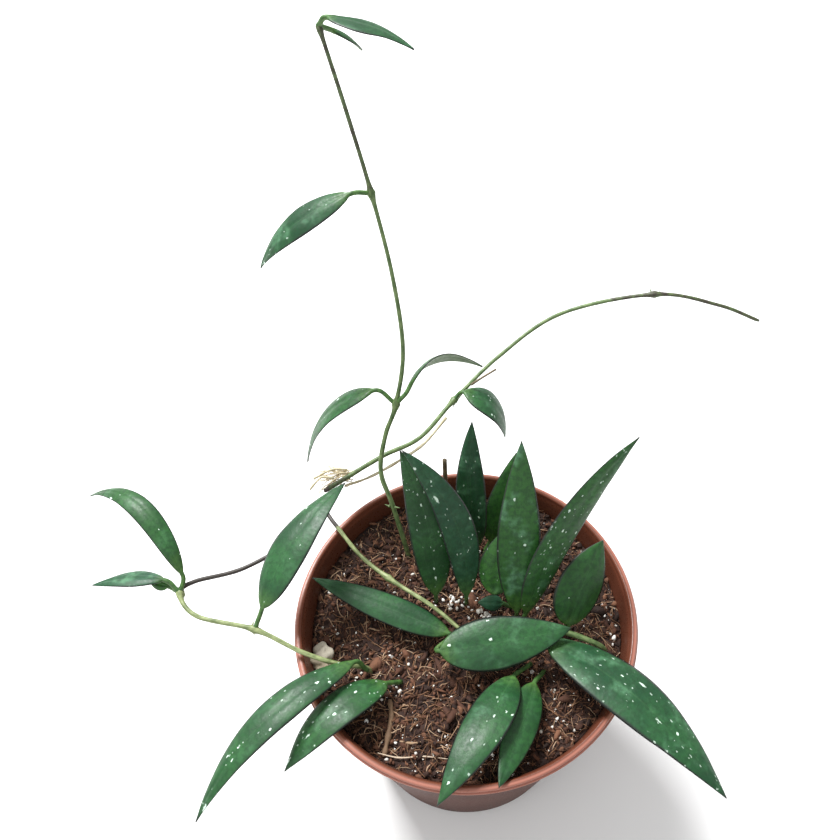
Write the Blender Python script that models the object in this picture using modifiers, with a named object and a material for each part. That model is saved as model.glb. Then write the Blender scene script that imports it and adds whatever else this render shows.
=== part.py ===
"""Potted hoya: a trailing plant with narrow leaves in a terracotta-coloured nursery pot.

The pot stands on the plane z = 0 with its axis on the Z axis, and the origin is the centre of
its underside. Lengths in the tables below are in millimetres and angles in degrees.
"""
import math

import bmesh
import bpy
from mathutils import Matrix, Vector

MM = 0.001

# Pot, a turned plastic shell
RIM_RADIUS = 60.0
POT_HEIGHT = 96.0
BASE_RADIUS = 42.0
WALL = 1.5
LIP_HEIGHT = 2.6
LIP_OVERHANG = 2.2
LIP_WIDTH = 2.7
LIP_ROUND = 0.6
FLOOR_THICKNESS = 4.0
CHANNEL_DEPTH = 2.5
FOOT_WIDTH = 3.5
FOOT_ROUND = 0.9
CHANNEL_SLOPE = 0.5
CENTRE_PAD_RADIUS = 20.0
DRAIN_HOLES = 8
DRAIN_RADIUS = 3.5
DRAIN_SIDES = 12
DRAIN_CIRCLE = 30.0
TURN_STEPS = 48
TURN_MERGE = 0.00005

# Soil, which fills the pot to about a centimetre under the rim
FIT_GAP = 0.4
SOIL_LEVEL = 86.0
SOIL_RINGS = 9
SOIL_LUMP_HEIGHT = 2.4
SOIL_LUMP_SIZE = 9.0
SOCKET_CLEARANCE = 0.6
SOCKET_LENGTH = 30.0

# Stems: route points, then radius at the start and at the end, then the numbers of the points
# that are swollen nodes, where leaves or roots grow
STEM_STEP = 6.0
NODE_SWELLING = 0.55
NODE_REACH = 3.5
STEMS = {
    "tall_vine": (
        [(-21, 27, 74), (-22, 29, 86), (-27, 38, 107), (-31, 46, 117), (-29, 55, 127), (-25, 62, 136),
         (-22, 72, 154), (-25, 86, 176), (-31, 100, 199), (-37, 108, 223), (-43, 113, 249)],
        0.95, 0.65, (5, 8, 10)),
    "runner_vine": (
        [(-54, 49, 99), (-45, 56, 99), (-32, 65, 100), (-18, 73, 101), (-5, 90, 103), (14, 109, 109),
         (39, 122, 120), (76, 124, 129), (102, 121, 126), (119, 117, 121)],
        0.95, 0.7, (4, 7)),
    "loop_vine": (
        [(-33, -17, 76), (-34, -17, 89), (-44, -18, 96), (-56, -15, 99), (-72, -8, 101), (-92, -4, 103),
         (-99, 4, 104), (-95, 9, 103), (-79, 16, 100), (-61, 30, 99), (-56, 43, 99), (-49, 35, 99),
         (-39, 23, 97), (-28, 14, 96), (-12, 3, 96), (-2, -5, 94)],
        1.0, 0.9, (4, 6, 10, 13)),
    "right_stem": (
        [(49, -11, 76), (48, -10, 89), (39, -7, 93), (31, -5, 94)],
        1.0, 1.0, (3,)),
    "cut_stub": (
        [(-8, 51, 76), (-8, 52, 90), (-8, 53, 114)],
        0.9, 0.9, ()),
    "dried_twig": (
        [(2, 94, 108), (6, 95, 111), (12, 98, 113)],
        0.5, 0.4, ()),
    "pale_strand": (
        [(-8, 82, 102), (-17, 71, 99), (-28, 64, 96), (-38, 58, 95), (-47, 54, 95)],
        0.45, 0.4, ()),
    "aerial_root_1": (
        [(-51, 55, 99), (-56, 56, 98), (-60, 51, 97)],
        0.4, 0.35, ()),
    "aerial_root_2": (
        [(-46, 59, 99), (-52, 59, 99), (-59, 56, 97)],
        0.4, 0.35, ()),
}
ROOTED_STEMS = ("tall_vine", "loop_vine", "right_stem", "cut_stub")

# Leaves: where the petiole leaves its stem, where the blade begins and where it ends, the blade's
# width, how far its midrib stands above the straight line at one third and at two thirds of the
# way and how far it sweeps to its right, and the heading and rise of the side that the upper face
# looks to
PETIOLE_RADIUS = 0.8
PETIOLE_GAP = 2.6
BLADE_THICKNESS = 1.2
BLADE_CUP = 0.10
BLADE_SWELL = 0.6
BLADE_NARROWING = 0.95
TIP_HALF_WIDTH = 0.3
LEAF_CORNERS = 8
PETIOLE_SHARES = (0.0, 0.4, 0.75)
BLADE_SHARES = (0.0, 0.04, 0.12, 0.24, 0.38, 0.52, 0.66, 0.78, 0.88, 0.95, 0.99)
BLADE_START = 0.05
LEAVES = {
    "tall_leaf_1": ((-25, 62, 136), (-33, 65, 140), (-60, 57, 107), 12, (11, 8, 0), (150, 70)),
    "tall_leaf_2": ((-25, 62, 136), (-20, 64, 143), (6, 76, 140), 12, (11, 9, 0), (120, 30)),
    "tall_leaf_3": ((-31, 100, 199), (-38, 98, 200), (-70, 90, 175), 11, (6, 8, 0), (220, 65)),
    "tall_leaf_4": ((-43, 113, 249), (-40, 112, 252), (-15, 105, 246), 13, (2, 3, 0), (60, 70)),
    "tall_leaf_5": ((-43, 113, 249), (-40, 116, 246), (-32, 122, 236), 5, (1, 1, 0), (30, 60)),
    "runner_leaf": ((-5, 90, 103), (-1, 91, 107), (16, 83, 87), 16, (9, 8, 0), (30, 70)),
    "loop_leaf_1": ((-72, -8, 101), (-69, -3, 107), (-43, 39, 120), 15, (10, 9, 1), (210, 60)),
    "loop_leaf_2": ((-99, 4, 104), (-98, 9, 108), (-138, 41, 108), 8, (18, 18, 8), (150, 70)),
    "loop_leaf_3": ((-99, 4, 104), (-104, 7, 108), (-130, 7, 104), 8, (3, 2, 0), (120, 65)),
    "loop_leaf_4": ((-99, 4, 104), (-103, 6, 105), (-110, 8, 104), 4, (1, 1, 0), (250, 70)),
    "left_leaf_long": ((-34, -18, 90), (-38, -18, 97), (-85, -66, 86), 12, (16, 16, 0), (150, 75)),
    "left_leaf_short": ((-25, -22, 89), (-27, -23, 91), (-58, -52, 91), 14, (12, 10, 0), (170, 75)),
    "front_leaf_long": ((20, -17, 89), (16, -21, 92), (-9, -64, 97), 15, (9, 10, -3), (200, 75)),
    "front_leaf_short": ((25, -20, 89), (23, -23, 91), (10, -59, 98), 12, (3, 2, 0), (330, 75)),
    "right_leaf": ((30, -6, 92), (28, -9, 94), (82, -60, 90), 20, (12, 12, 0), (50, 75)),
    "centre_leaf_right": ((-2, -5, 94), (-9, -14, 97), (36, -7, 100), 18, (3, 2, 1), (270, 70)),
    "centre_leaf_left": ((-3, -6, 90), (-6, -5, 91), (-55, 13, 98), 11, (1, 1, 0), (200, 80)),
    "upright_leaf_1": ((-11, 10, 89), (-11, 10, 91), (-22, 35, 146), 14, (0, 0, 4), (280, 20)),
    "upright_leaf_2": ((0, 9, 89), (0, 9, 92), (-21, 32, 150), 12, (1, 2, 9), (290, 20)),
    "upright_leaf_3": ((4, 28, 89), (4, 29, 92), (2, 50, 142), 11, (2, 2, -2), (270, 20)),
    "upright_leaf_4": ((8, 31, 89), (9, 32, 91), (18, 50, 123), 12, (2, 2, 0), (280, 20)),
    "upright_leaf_5": ((18, 3, 89), (18, 3, 92), (18, 35, 151), 15, (0, 0, 0), (270, 20)),
    "upright_leaf_6": ((20, 1, 89), (21, 2, 92), (57, 38, 149), 13, (0, 0, -7), (300, 30)),
    "upright_leaf_7": ((36, -2, 89), (36, -2, 91), (48, 21, 111), 19, (1, 1, -2), (290, 30)),
    "upright_leaf_8": ((10, 10, 89), (10, 10, 91), (13, 25, 110), 14, (1, 1, 0), (260, 20)),
    "upright_leaf_9": ((14, 7, 89), (13, 7, 90), (4, 6, 93), 6, (1, 1, 0), (270, 60)),
}

# Colours with roughness
PLASTIC_LOOK = ((0.42, 0.12, 0.06), 0.45)
SOIL_LOOK = ((0.06, 0.03, 0.018), 0.95)
STEM_LOOK = ((0.13, 0.19, 0.07), 0.6)
BARK_LOOK = ((0.16, 0.10, 0.05), 0.8)
ROOT_LOOK = ((0.55, 0.45, 0.28), 0.8)
LEAF_LOOK = ((0.04, 0.14, 0.06), 0.35)


def clear_scene():
    """Remove what a new file starts with."""
    for thing in list(bpy.data.objects):
        bpy.data.objects.remove(thing, do_unlink=True)


def collection(name):
    """A new collection in the scene."""
    made = bpy.data.collections.new(name)
    bpy.context.scene.collection.children.link(made)
    return made


def look(name, colour_and_roughness):
    """A Principled material with a colour and a roughness."""
    colour, roughness = colour_and_roughness
    material = bpy.data.materials.new(name)
    material.use_nodes = True
    shader = material.node_tree.nodes["Principled BSDF"]
    shader.inputs["Base Color"].default_value = (*colour, 1.0)
    shader.inputs["Roughness"].default_value = roughness
    shader.inputs["Metallic"].default_value = 0.0
    return material


def add_object(name, data, place, material=None):
    """An object for mesh or curve data, linked into one collection."""
    made = bpy.data.objects.new(name, data)
    place.objects.link(made)
    if material:
        data.materials.append(material)
    return made


def vec(point):
    """A point of the tables, in metres."""
    return Vector(point) * MM


def turned(name, profile, place, material):
    """A solid of revolution: a profile of (radius, height) points, outer side from top down."""
    mesh = bpy.data.meshes.new(name)
    points = [(radius * MM, 0.0, height * MM) for radius, height in profile]
    edges = [(number, number + 1) for number in range(len(points) - 1)]
    mesh.from_pydata(points, edges, [])
    made = add_object(name, mesh, place, material)
    screw = made.modifiers.new("turn", "SCREW")
    screw.axis = "Z"
    screw.angle = math.tau
    screw.steps = TURN_STEPS
    screw.render_steps = TURN_STEPS
    screw.use_merge_vertices = True
    screw.merge_threshold = TURN_MERGE
    screw.use_smooth_shade = True
    return made


def cut(target, cutter):
    """Take one solid out of another, and hide the cutter."""
    boolean = target.modifiers.new("cut", "BOOLEAN")
    boolean.operation = "DIFFERENCE"
    boolean.solver = "EXACT"
    boolean.object = cutter
    cutter.hide_render = True
    cutter.display_type = "WIRE"


def wall_radius(height):
    """Outer radius of the tapered wall at a height."""
    top = RIM_RADIUS - LIP_OVERHANG
    return BASE_RADIUS + (top - BASE_RADIUS) * height / (POT_HEIGHT - LIP_HEIGHT)


def make_pot(parts, cutters):
    """The pot: tapered wall, rounded lip, foot ring and drain holes in a raised channel."""
    lip_bottom = POT_HEIGHT - LIP_HEIGHT
    inner_lip = RIM_RADIUS - LIP_WIDTH
    profile = [
        (0.0, FLOOR_THICKNESS),
        (wall_radius(FLOOR_THICKNESS) - WALL, FLOOR_THICKNESS),
        (wall_radius(lip_bottom) - WALL, lip_bottom),
        (inner_lip + LIP_ROUND * 0.3, POT_HEIGHT - LIP_ROUND),
        (inner_lip + LIP_ROUND, POT_HEIGHT),
        (RIM_RADIUS - LIP_ROUND, POT_HEIGHT),
        (RIM_RADIUS, POT_HEIGHT - LIP_ROUND),
        (RIM_RADIUS, lip_bottom + LIP_ROUND),
        (RIM_RADIUS - LIP_ROUND, lip_bottom),
        (wall_radius(lip_bottom - LIP_ROUND), lip_bottom - LIP_ROUND),
        (wall_radius(FOOT_ROUND), FOOT_ROUND),
        (BASE_RADIUS - FOOT_ROUND, 0.0),
        (BASE_RADIUS - FOOT_WIDTH, 0.0),
        (BASE_RADIUS - FOOT_WIDTH - CHANNEL_SLOPE, CHANNEL_DEPTH),
        (CENTRE_PAD_RADIUS + CHANNEL_SLOPE, CHANNEL_DEPTH),
        (CENTRE_PAD_RADIUS, 0.0),
        (0.0, 0.0),
    ]
    pot = turned("pot", profile, parts, look("terracotta_plastic", PLASTIC_LOOK))
    holes = bmesh.new()
    for number in range(DRAIN_HOLES):
        turn = math.tau * (number + 0.5) / DRAIN_HOLES
        centre = vec((DRAIN_CIRCLE * math.cos(turn), DRAIN_CIRCLE * math.sin(turn), FLOOR_THICKNESS))
        bmesh.ops.create_cone(
            holes, cap_ends=True, segments=DRAIN_SIDES, radius1=DRAIN_RADIUS * MM, radius2=DRAIN_RADIUS * MM,
            depth=2.0 * FLOOR_THICKNESS * MM, matrix=Matrix.Translation(centre))
    mesh = bpy.data.meshes.new("drain_holes")
    holes.to_mesh(mesh)
    holes.free()
    cut(pot, add_object("drain_holes", mesh, cutters))
    return pot


def make_soil(parts):
    """The soil: a turned plug inside the pot with a lumpy top."""
    bottom = FLOOR_THICKNESS + FIT_GAP
    bottom_radius = wall_radius(bottom) - WALL - FIT_GAP
    top_radius = wall_radius(SOIL_LEVEL) - WALL - FIT_GAP
    profile = [(top_radius * ring / SOIL_RINGS, SOIL_LEVEL) for ring in range(SOIL_RINGS)]
    profile += [(top_radius, SOIL_LEVEL), (bottom_radius, bottom), (0.0, bottom)]
    soil = turned("soil", profile, parts, look("peat_and_coir", SOIL_LOOK))
    lumps = soil.vertex_groups.new(name="top")
    lumps.add(list(range(SOIL_RINGS)), 1.0, "REPLACE")
    texture = bpy.data.textures.new("soil_lumps", "CLOUDS")
    texture.noise_scale = SOIL_LUMP_SIZE * MM
    displace = soil.modifiers.new("lumps", "DISPLACE")
    displace.texture = texture
    displace.direction = "Z"
    displace.mid_level = 0.5
    displace.strength = SOIL_LUMP_HEIGHT * MM
    displace.vertex_group = lumps.name
    return soil


def smooth_route(points, step):
    """Points at even steps along a Catmull-Rom curve through the route, with their route number."""
    knots = [vec(point) for point in points]
    first = knots[0] * 2 - knots[1]
    last = knots[-1] * 2 - knots[-2]
    knots = [first, *knots, last]
    route = []
    for number in range(1, len(knots) - 2):
        before, start, end, after = knots[number - 1:number + 3]
        count = max(1, round((end - start).length / (step * MM)))
        for piece in range(count):
            t = piece / count
            bend = start * 2 + (end - before) * t
            bend += (before * 2 - start * 5 + end * 4 - after) * t ** 2
            bend += (start * 3 - before - end * 3 + after) * t ** 3
            route.append((bend * 0.5, number - 1 + t))
    route.append((knots[-2], float(len(points) - 1)))
    return route


def stem_radius(share, start, end, distances):
    """Radius at a share of the way along a stem: a taper with a swelling at each node."""
    swelling = sum(math.exp(-(distance / NODE_REACH) ** 2) for distance in distances)
    return start + (end - start) * share + NODE_SWELLING * swelling


def tube(name, points, ends, nodes, place, extra=0.0, longest=None):
    """A stem as a round curve with filled caps, swollen at its nodes."""
    route = smooth_route(points, STEM_STEP)
    knots = [vec(points[number]) for number in nodes]
    if longest:
        route = [item for item in route if (item[0] - route[0][0]).length < longest * MM]
    curve = bpy.data.curves.new(name, "CURVE")
    curve.dimensions = "3D"
    curve.bevel_depth = MM
    curve.bevel_resolution = 2
    curve.use_fill_caps = True
    spline = curve.splines.new("POLY")
    spline.points.add(len(route) - 1)
    for number, (spot, progress) in enumerate(route):
        distances = [(spot - knot).length / MM for knot in knots]
        radius = stem_radius(progress / (len(points) - 1), *ends, distances)
        spline.points[number].co = (*spot, 1.0)
        spline.points[number].radius = radius + extra
    return add_object(name, curve, place)


def make_stems(parts):
    """Every stem, runner, twig and free root."""
    green = look("vine_skin", STEM_LOOK)
    bark = look("old_bark", BARK_LOOK)
    pale = look("root_skin", ROOT_LOOK)
    for name, (points, start, end, nodes) in STEMS.items():
        stem = tube(name, points, (start, end), nodes, parts)
        material = green
        if name in ("cut_stub", "dried_twig"):
            material = bark
        if name.startswith(("aerial", "pale")):
            material = pale
        stem.data.materials.append(material)


def cut_sockets(soil, cutters):
    """Holes in the soil where the rooted stems go down into it."""
    for name in ROOTED_STEMS:
        points, start, end, _ = STEMS[name]
        guide = tube(name + "_guide", points, (start, end), (), cutters, SOCKET_CLEARANCE, SOCKET_LENGTH)
        bpy.context.view_layer.update()
        solid = guide.evaluated_get(bpy.context.evaluated_depsgraph_get())
        mesh = bpy.data.meshes.new_from_object(solid)
        bpy.data.objects.remove(guide, do_unlink=True)
        shape = bmesh.new()
        shape.from_mesh(mesh)
        bmesh.ops.remove_doubles(shape, verts=shape.verts, dist=0.00001)
        for vertex in shape.verts:
            vertex.co.z -= SOCKET_CLEARANCE * MM
        shape.to_mesh(mesh)
        shape.free()
        cut(soil, add_object(name + "_socket", mesh, cutters))


def bezier(start, pull, push, end, t):
    """A point of a cubic curve and its direction."""
    back = 1.0 - t
    point = start * back ** 3 + pull * 3 * back ** 2 * t + push * 3 * back * t ** 2 + end * t ** 3
    slope = (pull - start) * back ** 2 + (push - pull) * 2 * back * t + (end - push) * t ** 2
    return point, slope.normalized()


def blade_outline(t):
    """Half width of a blade along its midrib, from 0 to 1: round at the base, drawn out to the tip."""
    widest = BLADE_SWELL / (BLADE_SWELL + BLADE_NARROWING)
    peak = widest ** BLADE_SWELL * (1.0 - widest) ** BLADE_NARROWING
    return t ** BLADE_SWELL * (1.0 - t) ** BLADE_NARROWING / peak


def heading(azimuth, rise):
    """The unit vector with a compass angle from +X and a rise above the horizon."""
    flat = math.cos(math.radians(rise))
    turn = math.radians(azimuth)
    return Vector((flat * math.cos(turn), flat * math.sin(turn), math.sin(math.radians(rise))))


def leaf_sections(joint, base, tip, width, arch, face):
    """The sections of a leaf: centre, side and normal directions, half width and half thickness."""
    chord = tip - base
    side = chord.cross(heading(*face)).normalized()
    lift = side.cross(chord).normalized()
    rise_near, rise_far, sweep = arch
    pull = base + chord / 3 + lift * (rise_near * MM) + side * (sweep * MM)
    push = base + chord * 2 / 3 + lift * (rise_far * MM) + side * (sweep * MM)
    sections = []
    reach = (base - joint).length
    out = (pull - base).normalized()
    first = min(PETIOLE_GAP * MM / reach, 0.5)
    for share in PETIOLE_SHARES:
        t = first + (1.0 - first) * share
        point, along = bezier(joint, joint.lerp(base, 0.4), base - out * reach * 0.4, base, t)
        sections.append((point, along, side, PETIOLE_RADIUS, PETIOLE_RADIUS))
    for t in BLADE_SHARES:
        point, along = bezier(base, pull, push, tip, t)
        narrowest = PETIOLE_RADIUS if t < 0.5 else TIP_HALF_WIDTH
        half = max(blade_outline(t) * width / 2, narrowest)
        thick = BLADE_THICKNESS / 2 if t > BLADE_START else PETIOLE_RADIUS
        sections.append((point, along, side, half, thick))
    return sections


def make_leaf(name, row, place, material):
    """A leaf: a round petiole that widens into a thin arched blade."""
    joint, base, tip, width, arch, face = row
    sections = leaf_sections(vec(joint), vec(base), vec(tip), width, arch, face)
    shape = bmesh.new()
    rings = []
    for point, along, side, half, thick in sections:
        normal = side.cross(along).normalized()
        across = along.cross(normal).normalized()
        ring = []
        for corner in range(LEAF_CORNERS):
            turn = math.tau * corner / LEAF_CORNERS
            x = half * math.cos(turn)
            y = thick * math.sin(turn)
            if half > 2 * thick:
                y -= BLADE_CUP * x * x / half
            ring.append(shape.verts.new(point + across * (x * MM) + normal * (y * MM)))
        rings.append(ring)
    for first, second in zip(rings, rings[1:]):
        for corner in range(LEAF_CORNERS):
            following = (corner + 1) % LEAF_CORNERS
            shape.faces.new((first[corner], second[corner], second[following], first[following]))
    shape.faces.new(rings[0])
    shape.faces.new(reversed(rings[-1]))
    mesh = bpy.data.meshes.new(name)
    shape.to_mesh(mesh)
    shape.free()
    mesh.shade_smooth()
    return add_object(name, mesh, place, material)


def make_leaves(parts):
    """Every leaf."""
    material = look("leaf_skin", LEAF_LOOK)
    for name, row in LEAVES.items():
        make_leaf(name, row, parts, material)


def main():
    """Build the plant."""
    clear_scene()
    parts = collection("potted_hoya")
    cutters = collection("cutters")
    make_pot(parts, cutters)
    soil = make_soil(parts)
    make_stems(parts)
    cut_sockets(soil, cutters)
    make_leaves(parts)


main()
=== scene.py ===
"""Looks of the potted hoya: fine leaves, vines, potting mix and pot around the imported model."""

import math
import random

import bmesh
import bpy
import numpy as np
from mathutils import Matrix, Vector, noise


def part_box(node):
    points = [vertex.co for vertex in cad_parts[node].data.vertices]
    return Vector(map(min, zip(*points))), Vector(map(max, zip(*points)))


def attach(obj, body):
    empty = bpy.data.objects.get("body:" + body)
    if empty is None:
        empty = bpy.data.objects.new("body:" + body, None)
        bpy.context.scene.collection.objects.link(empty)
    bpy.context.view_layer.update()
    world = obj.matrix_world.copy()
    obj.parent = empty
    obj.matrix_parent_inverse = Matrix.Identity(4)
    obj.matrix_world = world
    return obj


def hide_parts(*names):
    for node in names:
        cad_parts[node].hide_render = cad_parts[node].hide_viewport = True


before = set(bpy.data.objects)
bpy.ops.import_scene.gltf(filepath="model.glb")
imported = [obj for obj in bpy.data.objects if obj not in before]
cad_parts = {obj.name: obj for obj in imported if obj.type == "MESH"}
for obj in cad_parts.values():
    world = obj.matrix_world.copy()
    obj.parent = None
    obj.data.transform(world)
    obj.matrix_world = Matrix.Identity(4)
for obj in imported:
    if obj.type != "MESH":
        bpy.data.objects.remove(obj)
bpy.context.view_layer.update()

MM = 0.001

# Pot: lengths in millimetres, with the height taken from the frame
POT_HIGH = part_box("pot")[1]
RIM_RADIUS = POT_HIGH[0] / MM
POT_HEIGHT = POT_HIGH[2] / MM
BASE_RADIUS = RIM_RADIUS * 0.7
WALL = 1.5
LIP_HEIGHT = 2.6
LIP_OVERHANG = 2.2
LIP_WIDTH = 2.7
FLOOR_THICKNESS = 4.0
CHANNEL_DEPTH = 2.5
FOOT_WIDTH = 3.5
CENTRE_PAD_RADIUS = 20.0
DRAIN_HOLES = 8
DRAIN_RADIUS = 3.5
DRAIN_CIRCLE = 30.0
SEAM_HEIGHT = 0.12
POT_COLUMNS = 360
SOIL_LEVEL = 86.0

# Unevenness of the mix: height and width of each size of lump in millimetres, and its noise's shift
SOIL_LUMPS = (
    (2.2, 22.0, (0.0, 0.0, 0.0)),
    (1.3, 8.0, (3.1, 0.0, 0.0)),
    (0.9, 3.6, (0.0, 7.7, 0.0)),
    (0.8, 1.5, (1.0, 2.0, 4.0)),
)
SOIL_RINGS = 90
SOIL_COLUMNS = 300

# Loose grains: how many, and the perlite heaps' place, number and spread
CRUMBS = 8500
CHIPS = 70
FIBRES = 2400
LONG_ROOTS = 60
PERLITE_GRAINS = 520
PERLITE_HEAPS = ((-2, 9, 26, 3.0), (43, -12, 22, 3.0), (6, 4, 8, 2.5), (-8, -2, 8, 2.5))

# Bark strips and twigs on the mix: route, radius, shade from dark to pale, and lift
BARK_BITS = (
    ([(-26.0, -27.0), (-25.2, -33.0), (-26.0, -40.0), (-27.0, -46.0)], 1.1, 0.05, 0.9),
    ([(-22.0, -41.0), (-17.5, -41.8), (-13.0, -41.0), (-9.0, -40.5)], 0.42, 0.45, 1.2),
    ([(-29.0, -45.0), (-22.0, -46.5), (-14.0, -46.2), (-6.0, -47.0)], 0.32, 0.95, 1.6),
    ([(36.0, 45.0), (33.0, 49.0), (36.5, 51.0), (40.0, 48.0)], 0.7, 0.10, 2.5),
)
PALE_FLAKE = ((-51.0, -10.5, 2.0), (-50.8, -14.5, 2.2), (-49.6, -18.5, 2.0))
PALE_FLAKE_SIZES = (2.9, 3.4, 2.8)

# Colours of the loose grains, from dark to pale
PEAT = ((0.006, 0.003, 0.002), (0.030, 0.011, 0.006), (0.090, 0.034, 0.017), (0.210, 0.095, 0.050))
COIR = ((0.045, 0.020, 0.010), (0.110, 0.050, 0.024), (0.240, 0.120, 0.058), (0.620, 0.450, 0.300))
PERLITE = ((0.62, 0.58, 0.50), (0.80, 0.78, 0.72), (0.92, 0.91, 0.88))
BARK = ((0.10, 0.055, 0.030), (0.30, 0.19, 0.11), (0.66, 0.55, 0.42))
PALE_BARK = ((0.10, 0.07, 0.04), (0.42, 0.36, 0.26), (0.74, 0.68, 0.56))
FINE_ROOT = ((0.16, 0.10, 0.05), (0.52, 0.44, 0.28), (0.82, 0.77, 0.60))

# Pot colours: the plastic, drag marks and soil splashes are its own; the foot, outer wall and inner wall
# colours are painted shade, and the lip colour is a painted highlight
POT_DARK = (0.115, 0.034, 0.018)
POT_RED = (0.170, 0.054, 0.030)
POT_SCUFF = (0.26, 0.10, 0.06)
POT_FOOT_SHADE = (0.08, 0.036, 0.024)
POT_OUTSIDE_SHADE = (0.050, 0.015, 0.009)
POT_INSIDE_SHADE = (0.055, 0.018, 0.010)
POT_LIP_HIGHLIGHT = (0.42, 0.175, 0.130)
POT_SPLASH = (0.09, 0.05, 0.03)

# Stems: route points, radius at the start and at the end, and the swollen nodes' point numbers
STEM_STEP = 1.6
STEMS = {
    "tall_vine": (
        [(-21, 27, 74), (-22, 29, 86), (-27, 38, 107), (-31, 46, 117), (-29, 55, 127), (-25, 62, 136),
         (-22, 72, 154), (-25, 86, 176), (-31, 100, 199), (-37, 108, 223), (-43, 113, 249)],
        0.95, 0.65, (5, 8, 10)),
    "runner_vine": (
        [(-54, 49, 99), (-45, 56, 99), (-32, 65, 100), (-18, 73, 101), (-5, 90, 103), (14, 109, 109),
         (39, 122, 120), (76, 124, 129), (102, 121, 126), (119, 117, 121)],
        0.95, 0.7, (4, 7)),
    "loop_vine": (
        [(-33, -17, 76), (-34, -17, 89), (-44, -18, 96), (-56, -15, 99), (-72, -8, 101), (-92, -4, 103),
         (-99, 4, 104), (-95, 9, 103), (-79, 16, 100), (-61, 30, 99), (-56, 43, 99), (-49, 35, 99),
         (-39, 23, 97), (-28, 14, 96), (-12, 3, 96), (-2, -5, 94)],
        1.0, 0.9, (4, 6, 10, 13)),
    "right_stem": (
        [(49, -11, 76), (48, -10, 89), (39, -7, 93), (31, -5, 94)],
        1.0, 1.0, (3,)),
    "cut_stub": (
        [(-8, 51, 76), (-8, 52, 90), (-8, 53, 114)],
        0.9, 0.9, ()),
    "dried_twig": (
        [(2, 94, 108), (6, 95, 111), (12, 98, 113)],
        0.5, 0.4, ()),
    "pale_strand": (
        [(-8, 82, 102), (-17, 71, 99), (-28, 64, 96), (-38, 58, 95), (-47, 54, 95)],
        0.45, 0.4, ()),
    "aerial_root_1": (
        [(-51, 55, 99), (-56, 56, 98), (-60, 51, 97)],
        0.4, 0.35, ()),
    "aerial_root_2": (
        [(-46, 59, 99), (-52, 59, 99), (-59, 56, 97)],
        0.4, 0.35, ()),
}

STEM_FULLNESS = {"loop_vine": 0.82, "pale_strand": 1.3, "aerial_root_1": 1.2, "aerial_root_2": 1.2}
STEM_BUMPS = {"stem": 0.08, "dry_stem": 0.15, "root": 0.5}

# Height and reach of the swellings that make a node on a stem
NODE_SWELLINGS = ((0.55, 1.5), (0.25, 3.5))

# Root tips around the nodes of a stem: the nodes' point numbers, tips at each, and the random seed
ROOT_TIPS = {
    "loop_vine": ((4, 6), 6, 21),
    "tall_vine": ((2, 5, 8), 3, 23),
    "runner_vine": ((4, 7), 3, 24),
    "right_stem": ((2,), 4, 25),
}
TANGLE_ROOTS = 34
TANGLE_STEPS = 10

# Stem skins: dark and pale streaks, bark, and how much the stem's age brings the bark out
STEM_SKINS = {
    "vine_skin": ((0.055, 0.105, 0.030), (0.150, 0.220, 0.080), (0.040, 0.030, 0.022), 0.75),
    "loop_skin": ((0.110, 0.150, 0.050), (0.290, 0.340, 0.150), (0.035, 0.028, 0.022), 0.75),
    "dry_skin": ((0.090, 0.065, 0.035), (0.200, 0.150, 0.085), (0.30, 0.24, 0.15), 0.4),
    "root_skin": ((0.400, 0.340, 0.200), (0.640, 0.600, 0.430), (0.25, 0.19, 0.10), 0.3),
}

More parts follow.
